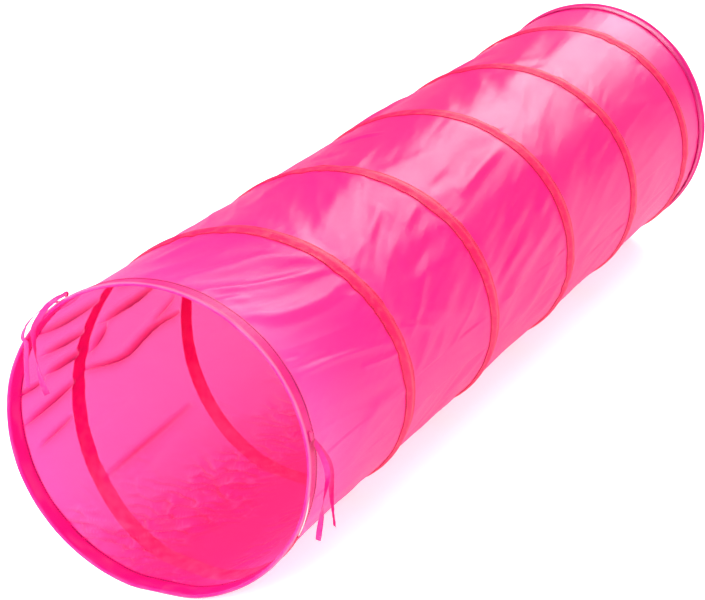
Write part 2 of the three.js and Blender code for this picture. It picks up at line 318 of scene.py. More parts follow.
def cloth(x, deg, tone=False):
    """Radius of the cloth tube at x and angle (from -180 to 180), both flat arrays; with tone, also its tone: painted
    shade, painted highlights, painted light and a mottle.
    """
    x, deg = np.asarray(x, float), np.asarray(deg, float)
    j = np.clip(np.round(deg + 180).astype(int), 0, 360)
    low, high, turn = np.zeros_like(x), np.zeros_like(x), np.zeros_like(x)
    for q in np.unique(j):
        m = j == q
        dd, count = deg[m], int(m.sum())
        base = q - 180
        k0 = math.ceil((COIL_FROM - base) / 360)
        cols = [np.zeros(count)]
        for k in range(k0, k0 + 8):
            at = base + 360 * k
            if COIL_FROM + 1 <= at and 0.012 < float(coil_x(at)) < L - 0.012:
                cols.append(coil_x(dd + 360 * k))
        cols.append(np.full(count, L))
        C = np.stack(cols, 0)
        idx = np.clip((C <= x[m][None]).sum(0) - 1, 0, len(cols) - 2)
        low[m], high[m] = C[idx, np.arange(count)], C[idx + 1, np.arange(count)]
        turn[m] = idx + k0
    span = np.maximum(high - low, 1e-4)
    t = np.clip((x - low) / span, 0, 1)
    near = np.minimum(x - low, high - x)  # distance to the nearest hold
    size = np.clip(span / 0.30, 0.05, 1)
    s = np.radians(deg) * SKIN_R
    side = np.cos(np.radians(deg))  # 1 at the top, -1 at the bottom
    bell = np.sin(np.pi * t)
    seam = sstep(180, 160, np.abs(deg))  # 0 at the bottom line, where the mesh closes
    bottom = sstep(0.72, 0.93, -side)
    a = deg % 360
    back = sstep(255, 275, a) * sstep(345, 325, a)

    d = -(0.0026 - 0.0030 * back) * bell * size * (1 - bottom) - 0.0016 * bell * size * np.clip(side, 0, 1) * (1 - back)
    d = d + 0.0030 * bell * size * bottom

    # long soft folds, each bay with its own slant
    ease = sstep(0.002, 0.04, near)
    slants = {-1: -14, 0: 10, 1: -34, 2: -16, 3: -28, 4: -12, 5: -8, 6: 0, 7: 0}
    strength = {-1: 0.6, 0: 0.8, 1: 0.9, 2: 1.0, 3: 0.75, 4: 0.6, 5: 0.6, 6: 0.6, 7: 0.6}
    bay = np.clip(np.round(turn).astype(int), -1, 7)
    folds = np.zeros_like(x)
    for b in np.unique(bay):
        m = bay == b
        slant = slants.get(int(b), -15)
        n1 = streaks(x[m], s[m], slant, 0.26, 0.050, 100 + 7 * int(b))
        n2 = streaks(x[m], s[m], slant * 0.6, 0.20, 0.019, 300 + 7 * int(b))
        crest = 1 - 2.2 * np.abs(streaks(x[m], s[m], slant * 0.8, 0.24, 0.040, 500 + 7 * int(b), 1))
        folds[m] = strength.get(int(b), 0.8) * (1.3 * n1 + 0.5 * n2 + 0.45 * crest)
    # a narrow stretch between two turns pulls tighter than a wide one
    d = d + 0.0017 * size * folds * ease * (1 - 0.5 * bottom) * seam

    fine = streaks(x, s, -20, 0.11, 0.0085, 640, 2) * sstep(-0.1, 0.5, fbm(x / 0.16, s / 0.13, 650, 2))
    d = d + 0.00030 * fine * ease * seam

    # gathers where the cloth is sewn to the tape and hems
    g = streaks(x, s, 0, 0.08, 0.0105, 811, 2) + 0.7 * streaks(x, s, 8, 0.06, 0.018, 911, 1)
    where = sstep(-0.2, 0.45, fbm(x / 0.09, s / 0.10, 77, 2))
    d = d + 0.0018 * g * where * np.exp(-np.maximum(near - 0.0165, 0) / 0.016) * sstep(0.006, 0.017, near) * seam

    # the folds that run between particular places on the holds
    drawn, double_layer_and_shade = tension_folds(x, deg)
    d = d + drawn * sstep(0.003, 0.024, near)

    # crumpled cloth where it lies on the ground
    low_side = sstep(0.50, 0.86, -side)
    wx, ws = 0.010 * fbm(x / 0.045, s / 0.045, 51, 2), 0.010 * fbm(x / 0.045, s / 0.045, 61, 2)
    r1 = 1 - np.abs(streaks(x + wx, s + ws, -42, 0.050, 0.0145, 54, 2)) * 3.4
    r2 = 1 - np.abs(streaks(x + 1.5 * wx, s + ws, -25, 0.034, 0.0088, 57, 2)) * 3.4
    patch = 0.45 * sstep(-0.1, 0.4, fbm(x / 0.10, s / 0.09, 56, 2))
    for px, pdeg, wide, tall in CRUMPLED:
        off = ((a - pdeg + 180) % 360 - 180) * math.pi / 180 * SKIN_R
        patch = patch + np.exp(-(((x - px) / wide) ** 2) - (off / tall) ** 2)
    patch = np.clip(patch, 0, 1.1)
    crumple = low_side * (0.0050 * np.clip(r1, -0.6, 1) * patch + 0.0021 * np.clip(r2, -0.6, 1) * patch)
    crumple = crumple + low_side * 0.0018 * fbm(x / 0.06, s / 0.05, 52, 2)
    d = d + crumple * (0.12 + 0.88 * sstep(0.014, 0.026, near)) * sstep(0.002, 0.02, near) * (0.2 + 0.8 * seam)
    if not tone:
        return SKIN_R + d
    # painted highlights on the crests of the crumpled cloth on the ground, painted shade in the hollows between them,
    # and painted shade in the tucks where the cloth lies double
    crest = low_side * patch * (1.4 * np.clip(r1 - 0.66, 0, 1) + 1.1 * np.clip(r2 - 0.68, 0, 1))
    shade_highlight_and_mottle = -1.0 * double_layer_and_shade + 1.0 * crest - 0.42 * low_side * patch * np.clip(0.6 - np.abs(r1 - 0.2), 0, 1)
    # the two layers of cloth under the tape, on the lower part of the tube, get a random mottle and are painted paler
    # towards the bottom (painted light)
    strip_zone = sstep(0.0185, 0.0150, near) * sstep(0.035, 0.05, x) * sstep(L - 0.035, L - 0.05, x) * sstep(0.25, -0.45, side)
    shade_highlight_and_mottle = shade_highlight_and_mottle + strip_zone * (0.04 + 0.40 * fbm(x / 0.011, s / 0.009, 71, 3) + 0.55 * sstep(-0.30, -0.80, side))
    return SKIN_R + d, np.clip(shade_highlight_and_mottle, -1, 1)


# ------------------------------------------------------------------ mesh helpers
def to_object(name, verts, faces, material, smooth=True, uv=None, tone=None):
    me = bpy.data.meshes.new(name)
    verts = np.asarray(verts, np.float32).reshape(-1, 3)
    me.vertices.add(len(verts))
    me.vertices.foreach_set("co", verts.ravel())
    faces = np.asarray(faces, np.int32)
    n = faces.shape[1]
    me.loops.add(faces.size)
    me.loops.foreach_set("vertex_index", faces.ravel())
    me.polygons.add(len(faces))
    me.polygons.foreach_set("loop_start", np.arange(0, faces.size, n, dtype=np.int32))
    me.polygons.foreach_set("loop_total", np.full(len(faces), n, np.int32))
    if smooth:
        me.polygons.foreach_set("use_smooth", np.ones(len(faces), bool))
    me.update(calc_edges=True)
    if uv is not None:
        layer = me.uv_layers.new(name="cloth")
        layer.data.foreach_set("uv", np.asarray(uv, np.float32)[faces.ravel()].ravel())
    if tone is not None:
        me.attributes.new("tone", "FLOAT", "POINT").data.foreach_set("value", np.asarray(tone, np.float32))
    me.validate()
    o = bpy.data.objects.new(name, me)
    bpy.context.scene.collection.objects.link(o)
    me.materials.append(material)
    return o


def grid_faces(n, m, wrap_m=False, wrap_n=False):
    """Quads of an n by m grid of points, row after row."""
    i = np.arange(n if wrap_n else n - 1)
    j = np.arange(m if wrap_m else m - 1)
    I, J = np.meshgrid(i, j, indexing="ij")
    I2, J2 = (I + 1) % n, (J + 1) % m
    return np.stack([I * m + J, I * m + J2, I2 * m + J2, I2 * m + J], -1).reshape(-1, 4)


def ridden(o, body, slot, *nodes):
    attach(o, body)
    if nodes:
        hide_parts(*nodes)
    return o


# ------------------------------------------------------------------ materials
def material(name):
    m = bpy.data.materials.new(name)
    m.use_nodes = True
    nt = m.node_tree
    nt.nodes.clear()
    return m, nt, nt.nodes.new("ShaderNodeOutputMaterial")


def fabric(name, color, dark, weave, rough, translucent, sheen=0.25, spec=0.5, bump=0.25, variation=0.12, patch_scale=9.0, uv_layer="cloth", through=None, pale=None):
    """Woven cloth: plain weave from two crossed waves, slubs, soft colour variation, light passing through, and a tone
    attribute that mixes in a pale colour for painted highlights and painted light and a deep colour for painted shade,
    where less light passes through.
    """
    m, nt, out = material(name)
    N, link = nt.nodes.new, nt.links.new
    uv = N("ShaderNodeUVMap")
    uv.uv_map = uv_layer
    geo = N("ShaderNodeTexCoord")

    def wave(direction, scale):
        w = N("ShaderNodeTexWave")
        w.wave_type, w.bands_direction, w.wave_profile = "BANDS", direction, "SIN"
        w.inputs["Scale"].default_value = scale
        w.inputs["Distortion"].default_value = 1.2
        w.inputs["Detail"].default_value = 1.0
        w.inputs["Detail Scale"].default_value = 0.8
        link(uv.outputs["UV"], w.inputs["Vector"])
        return w

    wx, wy = wave("X", weave), wave("Y", weave)
    cross = N("ShaderNodeMath")
    cross.operation = "MULTIPLY"
    link(wx.outputs["Fac"], cross.inputs[0])
    link(wy.outputs["Fac"], cross.inputs[1])
    slub = N("ShaderNodeTexNoise")
    slub.inputs["Scale"].default_value = 60
    slub.inputs["Detail"].default_value = 4
    stretch = N("ShaderNodeMapping")
    stretch.inputs["Scale"].default_value = (0.35, 6, 1)
    link(uv.outputs["UV"], stretch.inputs["Vector"])
    link(stretch.outputs["Vector"], slub.inputs["Vector"])
    patch = N("ShaderNodeTexNoise")
    patch.inputs["Scale"].default_value = patch_scale
    patch.inputs["Detail"].default_value = 3
    link(geo.outputs["Object"], patch.inputs["Vector"])

    tint = N("ShaderNodeMix")
    tint.data_type = "RGBA"
    tint.inputs["A"].default_value = (*color, 1)
    tint.inputs["B"].default_value = (*dark, 1)
    tone = N("ShaderNodeAttribute")
    tone.attribute_name = "tone"
    paler = N("ShaderNodeMath")
    paler.operation = "MAXIMUM"
    link(tone.outputs["Fac"], paler.inputs[0])
    paler.inputs[1].default_value = 0
    deeper = N("ShaderNodeMath")
    deeper.operation, deeper.use_clamp = "MULTIPLY", True
    link(tone.outputs["Fac"], deeper.inputs[0])
    deeper.inputs[1].default_value = -1
    # tone above zero mixes towards the pale colour: painted highlights and painted light
    light = N("ShaderNodeMix")
    light.data_type = "RGBA"
    link(paler.outputs[0], light.inputs["Factor"])
    link(tint.outputs["Result"], light.inputs["A"])
    light.inputs["B"].default_value = (*(pale or (min(1, color[0] * 1.1), 0.14, color[2] * 1.15 + 0.05)), 1)
    # tone below zero mixes towards the deep colour: painted shade; the translucent share drops with it
    deep = N("ShaderNodeMix")
    deep.data_type = "RGBA"
    link(deeper.outputs[0], deep.inputs["Factor"])
    link(light.outputs["Result"], deep.inputs["A"])
    deep.inputs["B"].default_value = (color[0] * 0.36, color[1] * 0.1, color[2] * 0.34, 1)
    amount = N("ShaderNodeMath")
    amount.operation = "MULTIPLY_ADD"
    link(patch.outputs["Fac"], amount.inputs[0])
    amount.inputs[1].default_value = variation * 2.2
    amount.inputs[2].default_value = -variation * 0.6
    amount2 = N("ShaderNodeMath")
    amount2.operation = "MULTIPLY_ADD"
    amount2.use_clamp = True
    link(slub.outputs["Fac"], amount2.inputs[0])
    amount2.inputs[1].default_value = variation * 0.9
    link(amount.outputs[0], amount2.inputs[2])
    weft = N("ShaderNodeMath")
    weft.operation = "MULTIPLY_ADD"
    weft.use_clamp = True
    link(cross.outputs[0], weft.inputs[0])
    weft.inputs[1].default_value = -variation * 0.5
    link(amount2.outputs[0], weft.inputs[2])
    link(weft.outputs[0], tint.inputs["Factor"])

    height = N("ShaderNodeMath")
    height.operation = "MULTIPLY_ADD"
    link(slub.outputs["Fac"], height.inputs[0])
    height.inputs[1].default_value = 0.6
    link(cross.outputs[0], height.inputs[2])
    b = N("ShaderNodeBump")
    b.inputs["Strength"].default_value = bump
    b.inputs["Distance"].default_value = 0.0004
    link(height.outputs[0], b.inputs["Height"])

    r = N("ShaderNodeMapRange")
    r.inputs["To Min"].default_value = rough - 0.07
    r.inputs["To Max"].default_value = rough + 0.10
    link(patch.outputs["Fac"], r.inputs["Value"])

    p = N("ShaderNodeBsdfPrincipled")
    link(deep.outputs["Result"], p.inputs["Base Color"])
    link(r.outputs["Result"], p.inputs["Roughness"])
    link(b.outputs["Normal"], p.inputs["Normal"])
    p.inputs["Specular IOR Level"].default_value = spec
    p.inputs["Sheen Weight"].default_value = sheen
    p.inputs["Sheen Roughness"].default_value = 0.45
    p.inputs["Sheen Tint"].default_value = (1.0, 0.75, 0.9, 1)
    if translucent <= 0:
        link(p.outputs[0], out.inputs["Surface"])
        return m
    t = N("ShaderNodeBsdfTranslucent")
    if through is None:
        link(tint.outputs["Result"], t.inputs["Color"])
    else:
        t.inputs["Color"].default_value = (*through, 1)
    mix = N("ShaderNodeMixShader")
    share = N("ShaderNodeMapRange")
    link(deeper.outputs[0], share.inputs["Value"])
    share.inputs["To Min"].default_value = translucent
    share.inputs["To Max"].default_value = translucent * 0.12
    link(share.outputs["Result"], mix.inputs[0])
    link(p.outputs[0], mix.inputs[1])
    link(t.outputs[0], mix.inputs[2])
    link(mix.outputs[0], out.inputs["Surface"])
    return m


def steel(name, color, rough):
    m, nt, out = material(name)
    N, link = nt.nodes.new, nt.links.new
    geo = N("ShaderNodeTexCoord")
    n = N("ShaderNodeTexNoise")
    n.inputs["Scale"].default_value = 140
    n.inputs["Detail"].default_value = 5
    link(geo.outputs["Object"], n.inputs["Vector"])
    ramp = N("ShaderNodeMix")
    ramp.data_type = "RGBA"
    ramp.inputs["A"].default_value = (*[c * 0.72 for c in color], 1)
    ramp.inputs["B"].default_value = (*color, 1)
    link(n.outputs["Fac"], ramp.inputs["Factor"])
    r = N("ShaderNodeMapRange")
    r.inputs["To Min"].default_value = rough - 0.1
    r.inputs["To Max"].default_value = rough + 0.15
    link(n.outputs["Fac"], r.inputs["Value"])
    b = N("ShaderNodeBump")
    b.inputs["Strength"].default_value = 0.15
    b.inputs["Distance"].default_value = 0.0002
    link(n.outputs["Fac"], b.inputs["Height"])
    p = N("ShaderNodeBsdfPrincipled")
    p.inputs["Metallic"].default_value = 1.0
    link(ramp.outputs["Result"], p.inputs["Base Color"])
    link(r.outputs["Result"], p.inputs["Roughness"])
    link(b.outputs["Normal"], p.inputs["Normal"])
    link(p.outputs[0], out.inputs["Surface"])
    return m


# pale is the colour of the painted highlights and painted light on the skin
PINK = fabric("taffeta", (0.80, 0.004, 0.225), (0.78, 0.002, 0.185), 2600, 0.31, 0.42, sheen=0.0, spec=0.21, bump=0.16, variation=0.16, through=(1.0, 0.115, 0.365), pale=(0.90, 0.13, 0.42))
HEM = fabric("hem_taffeta", (0.76, 0.004, 0.205), (0.72, 0.002, 0.160), 2600, 0.34, 0.20, sheen=0.0, spec=0.22, bump=0.25, variation=0.16, through=(1.0, 0.03, 0.40))
TAPE = fabric("binding_tape", (0.88, 0.004, 0.092), (0.82, 0.002, 0.060), 1500, 0.42, 0.06, sheen=0.0, spec=0.15, bump=0.35, variation=0.2)
RIBBON = fabric("satin_ribbon", (0.80, 0.012, 0.20), (0.66, 0.006, 0.14), 2200, 0.34, 0.14, sheen=0.0, spec=0.30, bump=0.2, variation=0.3)
THREAD = fabric("thread", (0.14, 0.002, 0.04), (0.08, 0.001, 0.02), 3000, 0.5, 0.0, sheen=0.0, spec=0.2, bump=0.3, variation=0.3)
STEEL = steel("spring_steel", (0.62, 0.63, 0.65), 0.32)
CRIMP = steel("crimp_sleeve", (0.72, 0.72, 0.74), 0.28)

# ------------------------------------------------------------------ the ties (first, as free cords)
def catmull(points, n):
    """Centripetal Catmull-Rom through points, n + 1 samples at even parameter, and tangents."""
    P = np.array(points, float)
    ext = np.concatenate([[2 * P[0] - P[1]], P, [2 * P[-1] - P[-2]]])
    out, tan = [], []
    m = len(P) - 1
    for k in range(n + 1):
        f = k / n * m
        i = min(int(f), m - 1)
        w = f - i
        p0, p1, p2, p3 = ext[i], ext[i + 1], ext[i + 2], ext[i + 3]
        d0, d1, d2 = (max(np.linalg.norm(b - a) ** 0.5, 1e-4) for a, b in ((p0, p1), (p1, p2), (p2, p3)))
        t1 = (p1 - p0) / d0 - (p2 - p0) / (d0 + d1) + (p2 - p1) / d1
        t2 = (p2 - p1) / d1 - (p3 - p1) / (d1 + d2) + (p3 - p2) / d2
        t1, t2 = t1 * d1, t2 * d1
        c2, c3 = -3 * p1 + 3 * p2 - 2 * t1 - t2, 2 * p1 - 2 * p2 + t1 + t2
        out.append(p1 + t1 * w + c2 * w * w + c3 * w**3)
        tan.append(t1 + 2 * c2 * w + 3 * c3 * w * w)
    out, tan = np.array(out), np.array(tan)
    return out, tan / np.linalg.norm(tan, axis=1, keepdims=True)


def polar(x, deg, r):
    return place(x / 1000, deg, r / 1000)


LEFT_AT, RIGHT_AT = 323, 78.7


def fr(x, y, z):
    return free(x / 1000, y / 1000, z / 1000)


TAILS = {
    "left_tie_tail_front": [
        (polar(15, LEFT_AT - 1.75, 229.2), (1, 0, 0)), (polar(13, 319, 233.5), (1, 0, 0)), (polar(9, 315, 236.8), (1, 0, 0.1)),
        (polar(3.5, 310.5, 237.8), (0.9, 0.2, 0.2)), (polar(-3, 306.5, 235), (0.7, 0.5, 0.3)), (polar(-7, 303.5, 228.5), (0.3, 0.9, 0.2)),
        (fr(-8.3, 184.5, 347), (0.1, 1, 0.05)), (fr(-8.5, 185.5, 330), (0.05, 1, 0)), (fr(-8.5, 186, 311), (0, 1, 0)),
        (fr(-8.5, 186, 293), (0, 1, 0)), (fr(-8.5, 186, 282), (0, 1, 0)),
    ],
    "left_tie_tail_back": [
        (polar(15, LEFT_AT + 1.75, 229.2), (1, 0, 0)), (polar(10, 326, 232.6), (1, 0.1, 0.1)), (polar(2.5, 325, 234.4), (0.7, 0.5, 0.3)),
        (polar(-4.5, 320, 233.5), (0.2, 0.8, 0.5)), (fr(-7.5, 163, 386), (-0.3, 0.9, 0.2)), (fr(-8, 172, 368), (-0.8, 0.6, 0)),
        (fr(-8, 171.5, 348), (-1, 0.1, 0)), (fr(-8, 169.5, 328), (-0.8, -0.5, 0)), (fr(-8, 166.5, 308), (-0.3, -0.9, 0)),
        (fr(-8, 161.5, 289), (0.3, -0.9, -0.1)), (fr(-8, 156, 276), (0.7, -0.7, -0.1)),
    ],
    "right_tie_tail_back": [
        (polar(19, RIGHT_AT + 1.75, 229.2), (1, 0, 0)), (polar(24, 83, 232.8), (0.9, 0, 0.3)), (polar(31, 86, 235.5), (0.8, -0.2, 0.3)),
        (polar(39, 89.5, 238), (0.6, -0.5, 0.3)), (fr(44, -239, 212), (0.4, -0.8, 0.1)), (fr(46, -238.5, 196), (0.2, -0.95, 0)),
        (fr(47, -238.5, 178), (-0.2, -0.95, 0)), (fr(48, -239.5, 160), (-0.5, -0.8, 0)), (fr(49, -240.5, 146), (-0.6, -0.7, 0)),
        (fr(50, -242, 130), (-0.6, -0.7, 0)),
    ],
    "right_tie_tail_front": [
        (polar(15, RIGHT_AT + 1.75, 231.4), (1, 0, 0)), (polar(16, 83.5, 236.5), (0.9, -0.3, 0.3)), (polar(19, 87, 241), (0.6, -0.7, 0.3)),
        (polar(22, 91, 243.8), (0.2, -0.95, 0.1)), (fr(24, -243, 208), (-0.3, -0.9, 0)), (fr(22, -240.5, 190), (-0.7, -0.6, 0)),
        (fr(19, -238.5, 172), (-0.9, -0.2, 0)), (fr(17, -237, 154), (-0.8, 0.5, 0)), (fr(14.5, -235, 137), (-0.4, 0.9, 0)),
        (fr(12.5, -234, 124), (0.1, 1, 0)),
    ],
}
TIE_W = 0.008


def ribbon(name, route):
    n = 90
    line, T = catmull([p for p, _ in route], n)
    W, _ = catmull([w for _, w in route], n)
    W = W - (W * T).sum(1, keepdims=True) * T
    W /= np.linalg.norm(W, axis=1, keepdims=True)
    Nn = np.cross(T, W)
    # closed section: a thin ribbon with corded edges and a slight cup
    u = np.array([-1, -0.93, -0.6, -0.2, 0.2, 0.6, 0.93, 1.0])
    cup = 0.0005 * (u * u)
    thick = np.array([0.00022, 0.00030, 0.00018, 0.00018, 0.00018, 0.00018, 0.00030, 0.00022])
    top = [(a * TIE_W / 2, c + t) for a, c, t in zip(u, cup, thick)]
    low = [(a * TIE_W / 2, c - t) for a, c, t in zip(u, cup, thick)][::-1]
    sec = np.array(top + low)
    along = np.concatenate([[0], np.cumsum(np.linalg.norm(np.diff(line, axis=0), axis=1))])
    ripple = 0.0003 * np.sin(along / 0.013 * 2 * math.pi) * np.sin(along / 0.05 * 2 * math.pi)
    V = line[:, None] + W[:, None] * sec[None, :, :1] + Nn[:, None] * (sec[None, :, 1:] + ripple[:, None, None])
    m = len(sec)
    faces = grid_faces(n + 1, m, wrap_m=True)
    uv = np.stack(np.broadcast_arrays(along[:, None], sec[None, :, 0]), -1).reshape(-1, 2)
    V = V.reshape(-1, 3)
    caps = [[k, k + 1, m - 2 - k, m - 1 - k] for k in range(m // 2 - 1)]
    end = [[n * m + b for b in reversed(c)] for c in caps]
    o = to_object(name + "_ribbon", V, np.concatenate([faces, np.array(caps + end)]), RIBBON, uv=uv)
    ridden(o, "near_end", "tie_ribbon", name)
    long = float(along[-1])
    return o, long


for name, route in TAILS.items():
    ribbon(name, route)

# the sewn middles of the ties: two layers of ribbon with a zigzag tack
def tack(name, deg, x):
    n, m = 15, 13
    a = np.linspace(-2.0, 2.0, n)
    b = np.linspace(-5.0, 5.0, m)
    A, B = np.meshgrid(a, b, indexing="ij")
    edge = np.minimum(1, np.minimum((2.0 - np.abs(A)) / 0.3, (5.0 - np.abs(B)) / 0.9))
    zig = np.exp(-((B - 3.6 * np.sign(np.sin(A * 12)) * np.abs(np.sin(A * 6))) ** 2) / 1.2)
    top = 226.75 + 1.25 * np.sqrt(np.clip(edge, 0, 1)) - 0.35 * zig
    P1 = place((x + B) / 1000, deg + A, top / 1000).reshape(-1, 3)
    P0 = place((x + B) / 1000, deg + A, np.full_like(top, 0.22655)).reshape(-1, 3)
    f1 = grid_faces(n, m)
    f0 = grid_faces(n, m)[:, ::-1] + n * m
    border = [i * m for i in range(n)] + [(n - 1) * m + j for j in range(1, m)] + [i * m + m - 1 for i in range(n - 2, -1, -1)] + [j for j in range(m - 2, 0, -1)]
    side = [[border[k], border[(k + 1) % len(border)], border[(k + 1) % len(border)] + n * m, border[k] + n * m] for k in range(len(border))]
    uv = np.stack([A.ravel() * 0.004, B.ravel() / 1000], -1)
    o = to_object(name + "_sewn", np.concatenate([P1, P0]), np.concatenate([f1, f0, np.array(side)[:, ::-1]]), RIBBON, uv=np.concatenate([uv, uv]))
    return ridden(o, "near_end", "tie_ribbon", name)


tack("left_tie_tack", LEFT_AT, 15)
tack("right_tie_tack", RIGHT_AT, 18)

# ------------------------------------------------------------------ the skin
SKIN_FROM = 0.0086
NX, NA = ((330, 680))
coarse_at = np.linspace(SKIN_FROM, L - SKIN_FROM, 2001)
steps = np.concatenate([[0], np.cumsum(1 + 1.0 * sstep(0.75, 0.45, coarse_at[1:]))])
xs = np.interp(np.linspace(0, 1, NX), steps / steps[-1], coarse_at)
fine_at = np.linspace(-180, 180, 2881)
density = 1 + 1.1 * sstep(-128, -115, fine_at) * sstep(-38, -50, fine_at) + 0.5 * sstep(-8, 5, fine_at) * sstep(118, 105, fine_at)
steps = np.concatenate([[0], np.cumsum((density[1:] + density[:-1]) / 2)])
degs = np.interp(np.arange(NA) / NA, steps / steps[-1], fine_at)
XX, DD = np.meshgrid(xs, degs, indexing="ij")
RR, TONE = cloth(XX.ravel(), DD.ravel(), tone=True)
V = place(XX.ravel(), DD.ravel(), RR)
V[:, 2] = np.maximum(V[:, 2], 0.0012)
UV = np.stack([XX.ravel(), np.radians(DD.ravel()) * SKIN_R], -1)
skin = to_object("tunnel_skin", V, grid_faces(NX, NA, wrap_m=True), PINK, uv=UV, tone=TONE)
ridden(skin, "near_end", "skin_cloth", *[f"skin_bay_{i}" for i in range(1, 7)])


# ------------------------------------------------------------------ the tape over the coil
def wrap(deg):
    return (np.asarray(deg) + 180) % 360 - 180


T0, T1 = coil_angle(0.026), coil_angle(L - 0.026)
NT = int((T1 - T0) / (1.0))
TH = np.linspace(T0, T1, NT)
sec_s = np.array([-16.5, -16, -14.6, -12.5, -10, -8, -6.2, -4.6, -3.0, -1.5, 0, 1.5, 3.0, 4.6, 6.2, 8, 10, 12.5, 14.6, 16, 16.5]) / 1000
sec_h = np.array([0.5, 0.95, 0.95, 0.85, 1.2, 1.7, 2.2, 2.7, 3.2, 3.5, 3.6, 3.5, 3.2, 2.7, 2.2, 1.7, 1.2, 0.85, 0.95, 0.95, 0.5]) / 1000
S = sec_s[None] * (1 + 0.04 * fbm(TH[:, None] / 9.0, np.zeros((NT, 1)), 61, 2))
TX = coil_x(TH)[:, None] + S
TD = np.broadcast_to(TH[:, None], TX.shape)
under = cloth(TX.ravel(), wrap(TD.ravel())).reshape(TX.shape)
mid = np.exp(-((S / 0.0075) ** 4))
under = under * (1 - mid) + SKIN_R * mid
ripple = 0.00045 * fbm(TH[:, None] / 2.4, S / 0.008, 62, 2) * (1 - mid)
outer = np.minimum(under + sec_h[None] + ripple, 0.2296)
inner = under + 0.00045
# the tape dives under the hems at both ends
def strip(x, deg, top, low):
    P1 = place(x.ravel(), deg.ravel(), top.ravel()).reshape(*x.shape, 3)
    P0 = place(x.ravel(), deg.ravel(), low.ravel()).reshape(*x.shape, 3)
    P = np.concatenate([P1, P0[:, ::-1]], 1)
    return P


P = strip(TX, TD, outer, np.minimum(inner, outer - 0.0002))
P[..., 2] = np.maximum(P[..., 2], 0.0008)
n, m = P.shape[:2]
arc = (TH - T0) * math.pi / 180 * R
uvt = np.stack(np.broadcast_arrays(arc[:, None], np.concatenate([sec_s, sec_s[::-1] + 0.03])[None]), -1)
faces = grid_faces(n, m, wrap_m=True)
caps = [[k, m - 1 - k, m - 2 - k, k + 1] for k in range(m // 2 - 1)]
caps2 = [[(n - 1) * m + b for b in reversed(c)] for c in caps]
# painted shadow along one edge of the tape and a painted highlight along the other, plus a random mottle
edge_tone = np.array([-0.9, -0.75, -0.15] + [0.0] * 15 + [0.25, 0.55, 0.6])
edge_tone = np.concatenate([edge_tone, edge_tone[::-1]])[None] + 0.30 * fbm(TH[:, None] / 1.6, np.arange(m)[None] / 3.0, 72, 2)
tape = to_object("channel_tape", P.reshape(-1, 3), np.concatenate([faces, np.array(caps + caps2)]), TAPE, uv=uvt.reshape(-1, 2), tone=edge_tone.ravel())
ridden(tape, "near_end", "channel_tape", *[f"channel_tape_{i}" for i in range(1, 7)])

# the coil itself, in the channel
C0, C1 = coil_angle(0.0055), coil_angle(L - 0.0055)
NC = int((C1 - C0) / 3)
CH = np.linspace(C0, C1, NC)
k8 = np.arange(10) / 10 * 2 * math.pi
CX = coil_x(CH)[:, None] + WIRE_R * np.cos(k8)[None]
CR = COIL_R + WIRE_R * np.sin(k8)[None] + 0 * CH[:, None]
P = place(CX.ravel(), np.broadcast_to(CH[:, None], CX.shape).ravel(), CR.ravel())
faces = grid_faces(NC, 10, wrap_m=True)
caps = np.array([[0, 3, 2, 1], [0, 5, 4, 3], [0, 7, 6, 5], [0, 9, 8, 7]])
coil = to_object("spring_coil", P, np.concatenate([faces, caps, caps[:, ::-1] + (NC - 1) * 10]), STEEL)
ridden(coil, "near_end", "spring_steel", *[f"spiral_wire_{i}" for i in range(1, 7)])


# ------------------------------------------------------------------ stitches
def stitches(name, centres, along, out, length, width, mat):
    """Small raised threads: centres, directions along and out of the cloth."""
    side = np.cross(along, out)
    k = np.array([
        [-0.5, 0, -0.15], [-0.28, -0.5, 0.2], [-0.28, 0.5, 0.2], [-0.1, 0, 0.62], [0.1, 0, 0.62], [0.28, -0.5, 0.2], [0.28, 0.5, 0.2], [0.5, 0, -0.15],
    ])
    f = np.array([[0, 1, 3], [0, 3, 2], [1, 5, 4], [1, 4, 3], [2, 3, 4], [2, 4, 6], [5, 7, 4], [6, 4, 7], [0, 2, 6], [0, 6, 7], [0, 7, 5], [0, 5, 1]])
    V = (
        centres[:, None]
        + along[:, None] * (k[None, :, :1] * length)
        + side[:, None] * (k[None, :, 1:2] * width)
        + out[:, None] * (k[None, :, 2:] * width)
    )
    F = (f[None] + 8 * np.arange(len(centres))[:, None, None]).reshape(-1, 3)
    uv = np.stack([V[..., 0].ravel(), V[..., 2].ravel()], -1)
    return to_object(name, V.reshape(-1, 3), F, mat, uv=uv)


def frame_at(x_fn, r_fn, t, dt=0.05):
    a = place(x_fn(t - dt), t - dt, r_fn(t - dt))
    b = place(x_fn(t + dt), t + dt, r_fn(t + dt))
    c = place(x_fn(t), t, r_fn(t))
    al = b - a
    al /= np.linalg.norm(al, axis=1, keepdims=True)
    ang = np.radians(t)
    o = np.stack([0 * ang, -np.sin(ang), np.cos(ang)], -1)
    o = o - (o * al).sum(1, keepdims=True) * al
    o /= np.linalg.norm(o, axis=1, keepdims=True)
    return c, al, o


pitch_deg = 0.0042 / R * 180 / math.pi
rows = []
for off in (-0.0146, 0.0146):
    t = np.arange(T0 + 1.5, T1 - 1.5, pitch_deg)
    x_fn = lambda a, off=off: coil_x(a) + off
    r_fn = lambda a, off=off: np.minimum(cloth(coil_x(a) + off, wrap(a)), 0.2290) + 0.00085
    rows.append(frame_at(x_fn, r_fn, t))
c, al, o = (np.concatenate([r[k] for r in rows]) for k in range(3))
c[:, 2] = np.maximum(c[:, 2], 0.0009)
tape_thread = stitches("tape_stitches", c, al, o, 0.0033, 0.0013, THREAD)
ridden(tape_thread, "near_end", "channel_tape")


